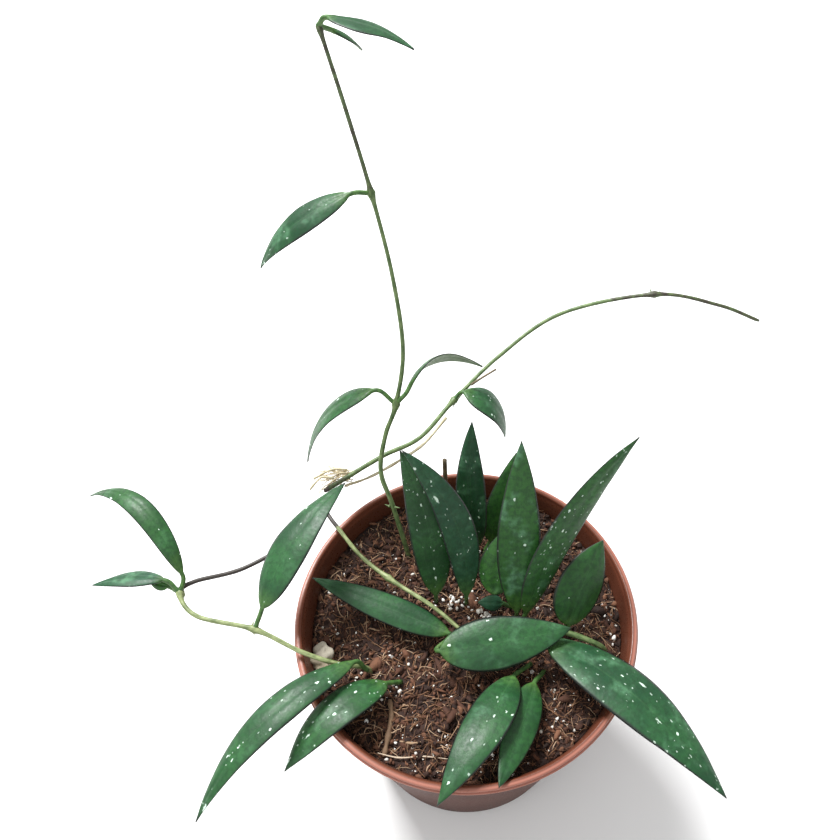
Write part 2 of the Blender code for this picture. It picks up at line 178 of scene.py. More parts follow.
# Leaves: petiole start, blade start, tip, width, midrib rise at one and two thirds and its sweep,
# the heading and rise that the upper face looks to
PETIOLE_RADIUS = 0.8
BLADE_THICKNESS = 1.1
LEAVES = {
    "tall_leaf_1": ((-25, 62, 136), (-33, 65, 140), (-60, 57, 107), 12, (11, 8, 0), (150, 70)),
    "tall_leaf_2": ((-25, 62, 136), (-20, 64, 143), (6, 76, 140), 12, (11, 9, 0), (120, 30)),
    "tall_leaf_3": ((-31, 100, 199), (-38, 98, 200), (-70, 90, 175), 11, (6, 8, 0), (220, 65)),
    "tall_leaf_4": ((-43, 113, 249), (-40, 112, 252), (-15, 105, 246), 13, (2, 3, 0), (60, 70)),
    "tall_leaf_5": ((-43, 113, 249), (-40, 116, 246), (-32, 122, 236), 5, (1, 1, 0), (30, 60)),
    "runner_leaf": ((-5, 90, 103), (-1, 91, 107), (16, 83, 87), 16, (9, 8, 0), (30, 70)),
    "loop_leaf_1": ((-72, -8, 101), (-69, -3, 107), (-43, 39, 120), 15, (10, 9, 1), (210, 60)),
    "loop_leaf_2": ((-99, 4, 104), (-98, 9, 108), (-138, 41, 108), 8, (18, 18, 8), (150, 70)),
    "loop_leaf_3": ((-99, 4, 104), (-104, 7, 108), (-130, 7, 104), 8, (3, 2, 0), (120, 65)),
    "loop_leaf_4": ((-99, 4, 104), (-103, 6, 105), (-110, 8, 104), 4, (1, 1, 0), (250, 70)),
    "left_leaf_long": ((-34, -18, 90), (-38, -18, 97), (-85, -66, 86), 12, (16, 16, 0), (150, 75)),
    "left_leaf_short": ((-25, -22, 89), (-27, -23, 91), (-58, -52, 91), 14, (12, 10, 0), (170, 75)),
    "front_leaf_long": ((20, -17, 89), (16, -21, 92), (-9, -64, 97), 15, (9, 10, -3), (200, 75)),
    "front_leaf_short": ((25, -20, 89), (23, -23, 91), (10, -59, 98), 12, (3, 2, 0), (330, 75)),
    "right_leaf": ((30, -6, 92), (28, -9, 94), (82, -60, 90), 20, (12, 12, 0), (50, 75)),
    "centre_leaf_right": ((-2, -5, 94), (-9, -14, 97), (36, -7, 100), 18, (3, 2, 1), (270, 70)),
    "centre_leaf_left": ((-3, -6, 90), (-6, -5, 91), (-55, 13, 98), 11, (1, 1, 0), (200, 80)),
    "upright_leaf_1": ((-11, 10, 89), (-11, 10, 91), (-22, 35, 146), 14, (0, 0, 4), (280, 20)),
    "upright_leaf_2": ((0, 9, 89), (0, 9, 92), (-21, 32, 150), 12, (1, 2, 9), (290, 20)),
    "upright_leaf_3": ((4, 28, 89), (4, 29, 92), (2, 50, 142), 11, (2, 2, -2), (270, 20)),
    "upright_leaf_4": ((8, 31, 89), (9, 32, 91), (18, 50, 123), 12, (2, 2, 0), (280, 20)),
    "upright_leaf_5": ((18, 3, 89), (18, 3, 92), (18, 35, 151), 15, (0, 0, 0), (270, 20)),
    "upright_leaf_6": ((20, 1, 89), (21, 2, 92), (57, 38, 149), 13, (0, 0, -7), (300, 30)),
    "upright_leaf_7": ((36, -2, 89), (36, -2, 91), (48, 21, 111), 19, (1, 1, -2), (290, 30)),
    "upright_leaf_8": ((10, 10, 89), (10, 10, 91), (13, 25, 110), 14, (1, 1, 0), (260, 20)),
    "upright_leaf_9": ((14, 7, 89), (13, 7, 90), (4, 6, 93), 6, (1, 1, 0), (270, 60)),
}

# Per leaf: green shift towards yellow (positive) or blue (negative), speckle amount, cloud amount
LEAF_TINTS = {
    "tall_leaf_1": (0.2, 0.3, 0.2), "tall_leaf_2": (0.5, 0.1, 0.1), "tall_leaf_3": (-0.3, 0.7, 0.5),
    "tall_leaf_4": (-0.3, 0.2, 0.5), "tall_leaf_5": (0.1, 0.1, 0.2), "runner_leaf": (-0.2, 0.8, 0.4),
    "loop_leaf_1": (-0.2, 0.6, 0.2), "loop_leaf_2": (0.3, 0.4, 0.2), "loop_leaf_3": (-0.6, 0.4, 0.8),
    "loop_leaf_4": (1.0, 0.0, 0.5), "left_leaf_long": (-0.1, 0.8, 0.2),
    "left_leaf_short": (0.2, 0.8, 0.3), "front_leaf_long": (0.0, 0.7, 0.4),
    "front_leaf_short": (0.2, 0.3, 0.1), "right_leaf": (-0.3, 0.9, 0.6),
    "centre_leaf_right": (-0.1, 0.3, 0.3), "centre_leaf_left": (-0.1, 0.2, 0.1),
    "upright_leaf_1": (0.2, 0.8, 0.2), "upright_leaf_2": (-0.5, 0.8, 0.3),
    "upright_leaf_3": (-0.4, 0.8, 0.6), "upright_leaf_4": (0.6, 0.4, 0.0),
    "upright_leaf_5": (0.5, 0.3, 1.0), "upright_leaf_6": (0.4, 1.0, 0.4),
    "upright_leaf_7": (0.4, 0.4, 0.1), "upright_leaf_8": (0.7, 0.7, 0.3),
    "upright_leaf_9": (-0.6, 0.1, 0.2),
}

# Leaf meshes: rings along the stalk and the blade, points across one side of the blade
STALK_RINGS = 9
BLADE_RINGS = 46
BLADE_COLUMNS = 15
BLADE_END = 0.998
STALK_PULL = 0.4

# A stalk that starts below this height stands this deep in the mix; any other overlaps its stem
ROOTED_BELOW = 89.5
BURIED_STALK = 4.0
STALK_OVERLAP = 0.3

# Relief of a blade: depth in millimetres and width as a share of the half width
MIDRIB_DEPTH = 0.20
MIDRIB_WIDTH = 0.085
KEEL_DEPTH = 0.42
KEEL_WIDTH = 0.13
SHOULDER_HEIGHT = 0.16
SHOULDER_PLACE = 0.36
SHOULDER_WIDTH = 0.22
BLADE_DROOP = 0.10
EDGE_WAVE = 0.05
SKIN_UNEVENNESS = 0.16

# Leaf colours
LEAF_DEEP = (0.007, 0.052, 0.014)
LEAF_FRESH = (0.023, 0.105, 0.028)
LEAF_YELLOW = (0.045, 0.165, 0.020)
LEAF_BLUE = (0.012, 0.066, 0.046)
LEAF_FOOT = (0.12, 0.22, 0.04)
LEAF_CLOUD = (0.13, 0.31, 0.17)
LEAF_MIDRIB = (0.06, 0.17, 0.06)
LEAF_VEIN = (0.009, 0.042, 0.014)
LEAF_FLECK = (0.62, 0.78, 0.66)
LEAF_BACK_DARK = (0.050, 0.110, 0.030)
LEAF_BACK_PALE = (0.085, 0.160, 0.045)
LEAF_MARGIN = (0.016, 0.013, 0.017)

# Camera: lip radii behind the pot's axis and above its lip, pitch below the horizon, and framing
CAMERA_BACK = 2.28
CAMERA_RISE = 4.86
CAMERA_PITCH = 52.7
CAMERA_LENS = 38.57
CAMERA_SHIFT = -0.0551

# Lights: place, width and power; both look at the pot's rim
LIGHTS = {
    "key_light": ((-0.50, 0.70, 1.30), 0.45, 38.0),
    "fill_light": ((-0.7, -0.9, 1.3), 1.4, 6.0),
}
LIGHT_TARGET = (0.0, 0.0, 0.09)
SKY_STRENGTH = 0.62


def vec(point):
    """A point of the tables, in metres."""
    return Vector(point) * MM


def wall_radius(height):
    """Outer radius of the pot's tapered wall, in millimetres."""
    top = RIM_RADIUS - LIP_OVERHANG
    return BASE_RADIUS + (top - BASE_RADIUS) * height / (POT_HEIGHT - LIP_HEIGHT)


def add_piece(name, points, faces, material, replaces=()):
    """A smooth piece from points in metres, which rides on the plant and may stand for CAD nodes."""
    mesh = bpy.data.meshes.new(name)
    mesh.from_pydata([tuple(point) for point in points], [], faces)
    mesh.validate()
    mesh.materials.append(material)
    mesh.shade_smooth()
    made = bpy.data.objects.new(name, mesh)
    bpy.context.scene.collection.objects.link(made)
    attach(made, "root")
    if replaces:
        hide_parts(*replaces)
    return made


# ---------------------------------------------------------------- materials

def new_material(name):
    """A node material, the short calls that add nodes to it, and its shader."""
    material = bpy.data.materials.new(name)
    material.use_nodes = True
    tree = material.node_tree
    return material, Nodes(tree), tree.nodes["Principled BSDF"]


class Nodes:
    """Short calls for the nodes that the materials use."""

    def __init__(self, tree):
        self.tree = tree

    def add(self, kind, **settings):
        node = self.tree.nodes.new(kind)
        for key, value in settings.items():
            setattr(node, key, value)
        return node

    def link(self, source, target):
        self.tree.links.new(source, target)

    def attribute(self, name):
        node = self.add("ShaderNodeAttribute", attribute_name=name)
        return node.outputs["Fac"]

    def place(self):
        return self.add("ShaderNodeTexCoord").outputs["Object"]

    def join(self, x, y, z=None):
        node = self.add("ShaderNodeCombineXYZ")
        self.link(x, node.inputs[0])
        self.link(y, node.inputs[1])
        if z is not None:
            self.link(z, node.inputs[2])
        return node.outputs[0]

    def noise(self, where, scale, detail=4.0, roughness=0.55):
        node = self.add("ShaderNodeTexNoise")
        self.link(where, node.inputs["Vector"])
        node.inputs["Scale"].default_value = scale
        node.inputs["Detail"].default_value = detail
        node.inputs["Roughness"].default_value = roughness
        return node.outputs["Fac"]

    def voronoi(self, where, scale):
        node = self.add("ShaderNodeTexVoronoi")
        self.link(where, node.inputs["Vector"])
        node.inputs["Scale"].default_value = scale
        return node.outputs["Distance"], node.outputs["Color"]

    def stretched(self, where, scale):
        node = self.add("ShaderNodeMapping")
        self.link(where, node.inputs["Vector"])
        node.inputs["Scale"].default_value = scale
        return node.outputs[0]

    def flecked_cells(self, where, scale, flecks, share, limit):
        """Distance from each cell's spot, a random number for each cell, and the cells that show."""
        distance, colour = self.voronoi(where, scale)
        picker = self.add("ShaderNodeSeparateColor")
        self.link(colour, picker.inputs[0])
        score = self.math("ADD", picker.outputs[0], self.math("MULTIPLY", flecks, share))
        return distance, picker.outputs[1], self.math("GREATER_THAN", score, limit)

    def math(self, operation, first, second=0.5, clamp=False):
        node = self.add("ShaderNodeMath", operation=operation, use_clamp=clamp)
        for number, value in enumerate((first, second)):
            if isinstance(value, (int, float)):
                node.inputs[number].default_value = value
            else:
                self.link(value, node.inputs[number])
        return node.outputs[0]

    def ramp(self, value, low, high, out_low=0.0, out_high=1.0):
        node = self.add("ShaderNodeMapRange", interpolation_type="SMOOTHSTEP")
        self.link(value, node.inputs["Value"])
        node.inputs["From Min"].default_value = low
        node.inputs["From Max"].default_value = high
        node.inputs["To Min"].default_value = out_low
        node.inputs["To Max"].default_value = out_high
        return node.outputs["Result"]

    def mix(self, share, first, second):
        node = self.add("ShaderNodeMix", data_type="RGBA")
        if isinstance(share, (int, float)):
            node.inputs[0].default_value = share
        else:
            self.link(share, node.inputs[0])
        for number, value in ((6, first), (7, second)):
            if isinstance(value, tuple):
                node.inputs[number].default_value = (*value, 1.0)
            else:
                self.link(value, node.inputs[number])
        return node.outputs[2]

    def bump(self, height, strength, distance, shader):
        node = self.add("ShaderNodeBump")
        node.inputs["Strength"].default_value = strength
        node.inputs["Distance"].default_value = distance
        self.link(height, node.inputs["Height"])
        self.link(node.outputs["Normal"], shader.inputs["Normal"])


def leaf_marks(n, place, along, tint):
    """Pale dots, dashes and specks on the upper face, and the flat pattern space of the blade."""
    flecks = n.attribute("flecks")
    under = n.attribute("under")
    flat = n.join(n.attribute("along_mm"), n.attribute("across_mm"), n.math("MULTIPLY", tint, 37.0))
    wobble = n.add("ShaderNodeTexNoise")
    n.link(place, wobble.inputs["Vector"])
    wobble.inputs["Scale"].default_value = 1100.0
    nudge = n.add("ShaderNodeVectorMath", operation="MULTIPLY_ADD")
    n.link(wobble.outputs["Color"], nudge.inputs[0])
    nudge.inputs[1].default_value = (1.6, 1.0, 0.0)
    n.link(flat, nudge.inputs[2])
    ragged = n.stretched(nudge.outputs[0], (0.62, 1.0, 1.0))
    drawn_out = n.stretched(nudge.outputs[0], (0.28, 1.0, 1.0))

    distance, pick, chosen = n.flecked_cells(ragged, 0.46, flecks, 0.42, 1.02)
    size = n.ramp(pick, 0.0, 1.0, 0.06, 0.22)
    dots = n.math("MULTIPLY", n.ramp(n.math("DIVIDE", distance, size), 1.1, 0.75), chosen)
    distance, pick, chosen = n.flecked_cells(drawn_out, 0.34, flecks, 0.25, 1.10)
    dashes = n.math("MULTIPLY", n.ramp(distance, 0.20, 0.13), chosen)
    distance, pick, chosen = n.flecked_cells(ragged, 1.15, flecks, 0.30, 1.16)
    specks = n.math("MULTIPLY", n.ramp(distance, 0.32, 0.20), chosen)
    marks = n.math("MAXIMUM", n.math("MAXIMUM", dots, dashes), n.math("MULTIPLY", specks, 0.55))
    marks = n.math("MULTIPLY", marks, n.ramp(along, 0.0, 0.06))
    return n.math("MULTIPLY", marks, n.ramp(under, 0.6, 0.4)), flat


def leaf_material():
    """Satin leaf skin: green ground, dark margins, cloudy patches and pale flecks."""
    material, n, shader = new_material("hoya_leaf")
    along = n.attribute("along")
    tint = n.attribute("tint")
    place = n.place()
    edge = n.math("ABSOLUTE", n.attribute("across"), 0.0)
    marks, flat = leaf_marks(n, place, along, tint)

    broad = n.noise(place, 60.0, 3.0)
    fine = n.noise(place, 900.0, 4.0)
    ground = n.mix(n.ramp(broad, 0.35, 0.68), LEAF_DEEP, LEAF_FRESH)
    ground = n.mix(n.ramp(tint, 0.0, 1.0, 0.0, 0.75), ground, LEAF_YELLOW)
    ground = n.mix(n.ramp(tint, 0.0, -1.0, 0.0, 0.75), ground, LEAF_BLUE)
    base_end = n.ramp(along, 0.16, -0.05)
    ground = n.mix(n.math("MULTIPLY", base_end, 0.55), ground, LEAF_FOOT)

    cloud_shape = n.ramp(n.noise(place, 150.0, 2.5), 0.50, 0.74)
    cloud_share = n.math("MULTIPLY", cloud_shape, n.math("MULTIPLY", n.attribute("clouds"), 0.75))
    ground = n.mix(cloud_share, ground, LEAF_CLOUD)
    midrib = n.ramp(edge, 0.055, 0.0)
    ground = n.mix(n.math("MULTIPLY", midrib, 0.22), ground, LEAF_MIDRIB)
    veins = n.noise(flat, 0.55, 5.0, 0.6)
    ground = n.mix(n.ramp(veins, 0.40, 0.64, 0.0, 0.55), ground, LEAF_VEIN)
    ground = n.mix(marks, ground, LEAF_FLECK)

    back_colour = n.mix(n.ramp(broad, 0.3, 0.7), LEAF_BACK_DARK, LEAF_BACK_PALE)
    ground = n.mix(n.math("MULTIPLY", n.attribute("under"), 0.85), ground, back_colour)
    rim = n.ramp(edge, 0.86, 0.97)
    tip = n.ramp(along, 0.955, 1.0)
    dark = n.math("MULTIPLY", n.math("MAXIMUM", rim, tip), n.ramp(along, 0.02, 0.12), True)
    ground = n.mix(n.math("MULTIPLY", dark, 0.85), ground, LEAF_MARGIN)
    n.link(ground, shader.inputs["Base Color"])

    n.link(n.ramp(fine, 0.3, 0.7, 0.40, 0.54), shader.inputs["Roughness"])
    shader.inputs["Specular IOR Level"].default_value = 0.36
    shader.inputs["Coat Weight"].default_value = 0.03
    shader.inputs["Coat Roughness"].default_value = 0.38
    shader.inputs["Subsurface Weight"].default_value = 0.06
    shader.inputs["Subsurface Radius"].default_value = (0.0012, 0.0020, 0.0006)
    relief = n.math("ADD", n.math("MULTIPLY", veins, 0.7), n.math("MULTIPLY", fine, 0.3))
    n.bump(relief, 0.45, 0.0004, shader)
    return material


def stem_material(name, dark, pale, bark, patches):
    """Stem skin with lengthwise streaks; patches is how much the stem's age brings the bark out."""
    material, n, shader = new_material(name)
    place = n.place()
    age = n.attribute("age")
    lengthwise = n.join(n.math("MULTIPLY", n.attribute("along_mm"), 0.12), n.attribute("turn"))
    streak = n.noise(lengthwise, 2.2, 4.0)
    mottled = n.noise(place, 420.0, 4.0)
    ground = n.mix(n.ramp(streak, 0.35, 0.65), dark, pale)
    worn = n.math("ADD", n.math("MULTIPLY", mottled, 0.7), n.math("MULTIPLY", age, patches))
    ground = n.mix(n.ramp(worn, 0.50, 0.85), ground, bark)
    n.link(ground, shader.inputs["Base Color"])
    n.link(n.ramp(mottled, 0.3, 0.7, 0.42, 0.62), shader.inputs["Roughness"])
    n.bump(n.math("ADD", streak, mottled), 0.4, 0.0003, shader)
    return material


def pot_material():
    """Satin terracotta-coloured plastic with faint drag marks and dust; painted shade darkens the foot, the
    outer wall and the inner wall, and a paler lip is a painted highlight.
    """
    material, n, shader = new_material("pot_plastic")
    place = n.place()
    split = n.add("ShaderNodeSeparateXYZ")
    n.link(place, split.inputs[0])
    drag = n.noise(n.stretched(place, (20.0, 20.0, 900.0)), 1.0, 3.0)
    cloud = n.noise(place, 35.0, 4.0)
    fine = n.noise(place, 1400.0, 3.0)
    ground = n.mix(n.ramp(cloud, 0.3, 0.7), POT_DARK, POT_RED)
    ground = n.mix(n.ramp(drag, 0.45, 0.75, 0.0, 0.18), ground, POT_SCUFF)
    # Painted shade: darker towards the foot
    low = n.ramp(split.outputs[2], 0.055, 0.0)
    ground = n.mix(n.math("MULTIPLY", low, 0.25), ground, POT_FOOT_SHADE)
    # Painted shade over the outer wall
    shaded_outer_wall = n.math("MULTIPLY", n.attribute("shaded_outer_wall"), 0.75)
    ground = n.mix(shaded_outer_wall, ground, POT_OUTSIDE_SHADE)
    # Painted shade over the inner wall
    inside_shade = n.math("MULTIPLY", n.attribute("inside_shade"), 0.60)
    ground = n.mix(inside_shade, ground, POT_INSIDE_SHADE)
    # Painted highlight on the lip's outer bead
    ground = n.mix(n.math("MULTIPLY", n.attribute("lip"), 0.80), ground, POT_LIP_HIGHLIGHT)
    splash = n.ramp(n.noise(place, 260.0, 5.0, 0.7), 0.62, 0.74)
    ground = n.mix(n.math("MULTIPLY", splash, 0.35), ground, POT_SPLASH)
    n.link(ground, shader.inputs["Base Color"])
    satin = n.ramp(fine, 0.3, 0.7, 0.26, 0.38)
    dusty = n.math("ADD", satin, n.math("MULTIPLY", n.attribute("shaded_outer_wall"), 0.25))
    n.link(dusty, shader.inputs["Roughness"])
    shader.inputs["Specular IOR Level"].default_value = 0.25
    n.bump(n.math("ADD", drag, n.math("MULTIPLY", fine, 0.5)), 0.15, 0.0003, shader)
    return material


def grain_material(name, colours, roughness, scale):
    """Loose grains and fibres: colour changes from one to the next through the shade attribute."""
    material, n, shader = new_material(name)
    shade = n.attribute("shade")
    mottled = n.noise(n.place(), scale, 4.0, 0.65)
    pick = n.math("ADD", n.math("MULTIPLY", shade, 0.75), n.math("MULTIPLY", mottled, 0.35))
    ramp = n.add("ShaderNodeValToRGB")
    n.link(pick, ramp.inputs[0])
    stops = ramp.color_ramp.elements
    while len(stops) < len(colours):
        stops.new(0.5)
    for number, colour in enumerate(colours):
        stops[number].position = number / (len(colours) - 1)
        stops[number].color = (*colour, 1.0)
    n.link(ramp.outputs[0], shader.inputs["Base Color"])
    n.link(n.ramp(mottled, 0.3, 0.7, roughness - 0.08, roughness + 0.05), shader.inputs["Roughness"])
    n.bump(mottled, 0.6, 0.0006, shader)
    return material


# ---------------------------------------------------------------- pot

def lathe(profile, columns):
    """Points and faces of a turned shell with a mould seam; the profile is in millimetres."""
    points = []
    faces = []
    seam_top = POT_HEIGHT - LIP_HEIGHT - 1.0
    for column in range(columns):
        turn = math.tau * column / columns - math.pi / 2
        for radius, height in profile:
            swell = SEAM_HEIGHT if column == 0 and 2.0 < height < seam_top else 0.0
            reach = (radius + swell) * MM
            points.append((reach * math.cos(turn), reach * math.sin(turn), height * MM))
    rows = len(profile)
    for column in range(columns):
        following = (column + 1) % columns
        for row in range(rows - 1):
            first = column * rows + row
            second = following * rows + row
            faces.append((first, first + 1, second + 1, second))
    return points, faces


def arc(centre, radius, start, end, count):
    """Points of a small rounding, from one angle to another in degrees."""
    turns = [math.radians(start + (end - start) * step / count) for step in range(count + 1)]
    return [(centre[0] + radius * math.cos(turn), centre[1] + radius * math.sin(turn)) for turn in turns]


def close_axis(mesh):
    """Join the points that lie together on the axis, so that the shell is one closed body."""
    shape = bmesh.new()
    shape.from_mesh(mesh)
    bmesh.ops.remove_doubles(shape, verts=shape.verts, dist=0.000001)
    bmesh.ops.recalc_face_normals(shape, faces=shape.faces)
    shape.to_mesh(mesh)
    shape.free()


def drill_holes(pot):
    """Cut the ring of drain holes through the floor."""
    holes = bmesh.new()
    for number in range(DRAIN_HOLES):
        turn = math.tau * (number + 0.5) / DRAIN_HOLES
        centre = vec((DRAIN_CIRCLE * math.cos(turn), DRAIN_CIRCLE * math.sin(turn), FLOOR_THICKNESS))
        bmesh.ops.create_cone(
            holes, cap_ends=True, segments=48, radius1=DRAIN_RADIUS * MM, radius2=DRAIN_RADIUS * MM,
            depth=2.0 * FLOOR_THICKNESS * MM, matrix=Matrix.Translation(centre))
    mesh = bpy.data.meshes.new("drain_cutter")
    holes.to_mesh(mesh)
    holes.free()
    cutter = bpy.data.objects.new("drain_cutter", mesh)
    bpy.context.scene.collection.objects.link(cutter)
    boolean = pot.modifiers.new("drain", "BOOLEAN")
    boolean.operation = "DIFFERENCE"
    boolean.object = cutter
    bpy.context.view_layer.update()
    solid = pot.evaluated_get(bpy.context.evaluated_depsgraph_get())
    drilled = bpy.data.meshes.new_from_object(solid)
    pot.modifiers.clear()
    pot.data = drilled
    bpy.data.objects.remove(cutter, do_unlink=True)


def make_pot():
    """The pot shell: double-ridged lip, tapered wall with a mould seam, foot and drained channel."""
    top = POT_HEIGHT
    under_lip = top - LIP_HEIGHT
    inner = RIM_RADIUS - LIP_WIDTH
    profile = [(0.0, FLOOR_THICKNESS), (wall_radius(FLOOR_THICKNESS) - WALL, FLOOR_THICKNESS)]
    for step in range(1, 8):
        height = FLOOR_THICKNESS + (under_lip - FLOOR_THICKNESS) * step / 8
        profile.append((wall_radius(height) - WALL, height))
    profile.append((wall_radius(under_lip) - WALL, under_lip - 0.6))
    profile.append((inner - 0.25, under_lip + 0.6))
    profile += arc((inner + 0.85, top - 0.85), 0.85, 180, 90, 6)
    profile += arc((RIM_RADIUS - 1.25, top - 0.75), 0.75, 90, 0, 6)
    profile.append((RIM_RADIUS - 0.62, top - 1.15))
    profile.append((RIM_RADIUS - 0.62, top - 1.45))
    profile += arc((RIM_RADIUS - 0.45, top - 1.95), 0.45, 70, -90, 6)
    profile.append((wall_radius(under_lip - 0.6) + 0.5, under_lip + 0.15))
    profile.append((wall_radius(under_lip - 0.6), under_lip - 0.5))
    for step in range(1, 16):
        height = under_lip * (1.0 - step / 16)
        profile.append((wall_radius(height), height))
    profile.append((wall_radius(1.0), 1.0))
    profile += arc((BASE_RADIUS - 0.8, 0.8), 0.8, -5, -90, 5)
    profile.append((BASE_RADIUS - FOOT_WIDTH, 0.0))
    profile.append((BASE_RADIUS - FOOT_WIDTH - 0.5, CHANNEL_DEPTH))
    profile.append((CENTRE_PAD_RADIUS + 0.5, CHANNEL_DEPTH))
    profile.append((CENTRE_PAD_RADIUS, 0.0))
    profile.append((0.0, 0.0))
    points, faces = lathe(profile, POT_COLUMNS)
    pot = add_piece("pot_shell", points, faces, pot_material(), ("pot",))
    close_axis(pot.data)
    drill_holes(pot)
    pot.data.set_sharp_from_angle(angle=math.radians(50))
    places = [vertex.co / MM for vertex in pot.data.vertices]
    radii = [math.hypot(place.x, place.y) for place in places]
    # Mask of the outer wall, which gets painted shade and a little more roughness
    shaded_outer_mask = [float(r > wall_radius(p.z) - WALL / 2 and p.z < under_lip) for r, p in zip(radii, places)]
    set_attribute(pot, "shaded_outer_wall", shaded_outer_mask)
    # Mask of the inner wall, which gets painted shade
    shaded_inner_wall = [float(r < wall_radius(p.z) - WALL / 2 and p.z < under_lip)
                  for r, p in zip(radii, places)]
    set_attribute(pot, "inside_shade", shaded_inner_wall)
    # Mask of the lip's outer bead, which gets a painted highlight
    lip_highlight_mask = [float(r > RIM_RADIUS - 1.5 and p.z > under_lip + 0.3) for r, p in zip(radii, places)]
    set_attribute(pot, "lip", lip_highlight_mask)


# ---------------------------------------------------------------- potting mix

def soil_height(x, y):
    """Height of the potting mix in millimetres at a place in millimetres."""
    spot = Vector((x, y, 0.0))
    value = SOIL_LEVEL - 0.5
    for height, width, shift in SOIL_LUMPS:
        value += height * noise.noise(spot / width + Vector(shift))
    far = math.hypot(x, y) / (wall_radius(SOIL_LEVEL) - WALL)
    value += 0.8 * max(0.0, far - 0.85) / 0.15
    return value


def make_soil(material):
    """The mix: a rough top on a plain plug."""
    rings = SOIL_RINGS
    columns = SOIL_COLUMNS
    radius = wall_radius(SOIL_LEVEL) - WALL - 0.15
    points = [(0.0, 0.0, soil_height(0.0, 0.0) * MM)]
    for ring in range(1, rings + 1):
        reach = radius * (ring / rings) ** 0.75
        for column in range(columns):
            turn = math.tau * column / columns
            x = reach * math.cos(turn)
            y = reach * math.sin(turn)
            points.append((x * MM, y * MM, soil_height(x, y) * MM))
    low = FLOOR_THICKNESS + 0.2
    low_radius = wall_radius(low) - WALL - 0.2
    for column in range(columns):
        turn = math.tau * column / columns
        points.append((low_radius * math.cos(turn) * MM, low_radius * math.sin(turn) * MM, low * MM))
    points.append((0.0, 0.0, low * MM))
    faces = []
    for column in range(columns):
        following = (column + 1) % columns
        faces.append((0, 1 + column, 1 + following))
        for ring in range(rings):
            first = 1 + ring * columns
            second = first + columns
            faces.append((first + column, second + column, second + following, first + following))
        last = 1 + rings * columns
        faces.append((last + column, len(points) - 1, last + following))
    soil = add_piece("potting_mix", points, faces, material, ("soil",))
    set_attribute(soil, "shade", [0.15 + 0.3 * noise.noise(Vector(p) * 300.0) for p in points])


def set_attribute(piece, name, values):
    """A number for each point of a mesh."""
    layer = piece.data.attributes.new(name, "FLOAT", "POINT")
    layer.data.foreach_set("value", np.asarray(values, dtype=np.float32))


def lump(detail):
    """Points and faces of a small round lump."""
    shape = bmesh.new()
    bmesh.ops.create_icosphere(shape, subdivisions=detail, radius=1.0)
    points = np.array([vertex.co[:] for vertex in shape.verts])
    faces = [tuple(vertex.index for vertex in face.verts) for face in shape.faces]
    shape.free()
    return points, faces


def scatter_place(rng, clear=54.0):
    """A random place on the mix, in millimetres."""
    reach = clear * math.sqrt(rng.random())
    turn = rng.uniform(0.0, math.tau)
    return reach * math.cos(turn), reach * math.sin(turn)


def make_lumps(name, material, places, sizes, rng, flat, detail=1, rough=0.35):
    """Many irregular lumps joined in one piece."""
    base, base_faces = lump(detail)
    points = []
    faces = []
    shades = []
    for (x, y, lift), size in zip(places, sizes):
        turn = Matrix.Rotation(rng.uniform(0, math.tau), 3, "Z")
        turn = turn @ Matrix.Rotation(rng.uniform(-0.9, 0.9), 3, "Y")
        long = rng.uniform(0.7, 1.5) if detail > 1 else rng.uniform(0.7, 2.9)
        stretch = np.array([long, rng.uniform(0.5, 1.1), flat * rng.uniform(0.6, 1.2)])
        shade = rng.random()
        offset = Vector((rng.random() * 50, rng.random() * 50, 0))
        start = len(points)
        height = soil_height(x, y) + lift
        for corner in base:
            bulge = 1.0 + rough * noise.noise(Vector(corner) * 1.3 + offset)
            moved = turn @ Vector(corner * stretch * size * bulge)
            points.append(((x + moved.x) * MM, (y + moved.y) * MM, (height + moved.z) * MM))
            shades.append(shade)
        faces += [tuple(index + start for index in face) for face in base_faces]
    piece = add_piece(name, points, faces, material)
    set_attribute(piece, "shade", shades)


def tube_faces(start, rows, corners):
    """Faces of a closed tube whose rings of points begin at number start."""
    faces = []
    for row in range(rows - 1):
        for corner in range(corners):
            following = (corner + 1) % corners
            first = start + row * corners
            second = first + corners
            faces.append((first + corner, first + following, second + following, second + corner))
    faces.append(tuple(start + corner for corner in reversed(range(corners))))
    last = start + (rows - 1) * corners
    faces.append(tuple(last + corner for corner in range(corners)))
    return faces


def strand(points, faces, path, radii, corners):
    """Add one round strand with closed ends to a list of points and faces."""
    start = len(points)
    side = Vector((0.0, 0.0, 1.0))
    for number, spot in enumerate(path):
        before = path[max(0, number - 1)]
        after = path[min(len(path) - 1, number + 1)]
        along = (after - before).normalized()
        across = along.cross(side)
        if across.length < 0.05:
            across = along.cross(Vector((1.0, 0.0, 0.0)))
        across.normalize()
        normal = across.cross(along)
        for corner in range(corners):
            turn = math.tau * corner / corners
            aside = across * (radii[number] * math.cos(turn))
            points.append(tuple(spot + aside + normal * (radii[number] * math.sin(turn))))
    faces += tube_faces(start, len(path), corners)


def make_fibres(name, material, count, rng, length, radius, lift, curl):
    """Loose coir fibres and fine roots lying on the mix."""
    points = []
    faces = []
    shades = []
    for _ in range(count):
        x, y = scatter_place(rng)
        way = rng.uniform(0.0, math.tau)
        reach = rng.uniform(*length)
        steps = 8
        bend = rng.uniform(-curl, curl)
        rise = rng.uniform(*lift)
        thick = rng.uniform(*radius)
        path = []
        for step in range(steps + 1):
            share = step / steps
            hump = rise * math.sin(share * math.pi * rng.uniform(0.9, 1.1))
            path.append(Vector((x * MM, y * MM, (soil_height(x, y) + 0.25 + hump) * MM)))
            x += reach / steps * math.cos(way)
            y += reach / steps * math.sin(way)
            way += bend / steps + rng.uniform(-0.18, 0.18)
            if math.hypot(x, y) > 55.5:
                break
        if len(path) < 4:
            continue
        before = len(points)
        radii = [thick * MM * (1.0 - 0.5 * number / len(path)) for number in range(len(path))]
        strand(points, faces, path, radii, 4)
        shades += [rng.random()] * (len(points) - before)
    piece = add_piece(name, points, faces, material)
    set_attribute(piece, "shade", shades)


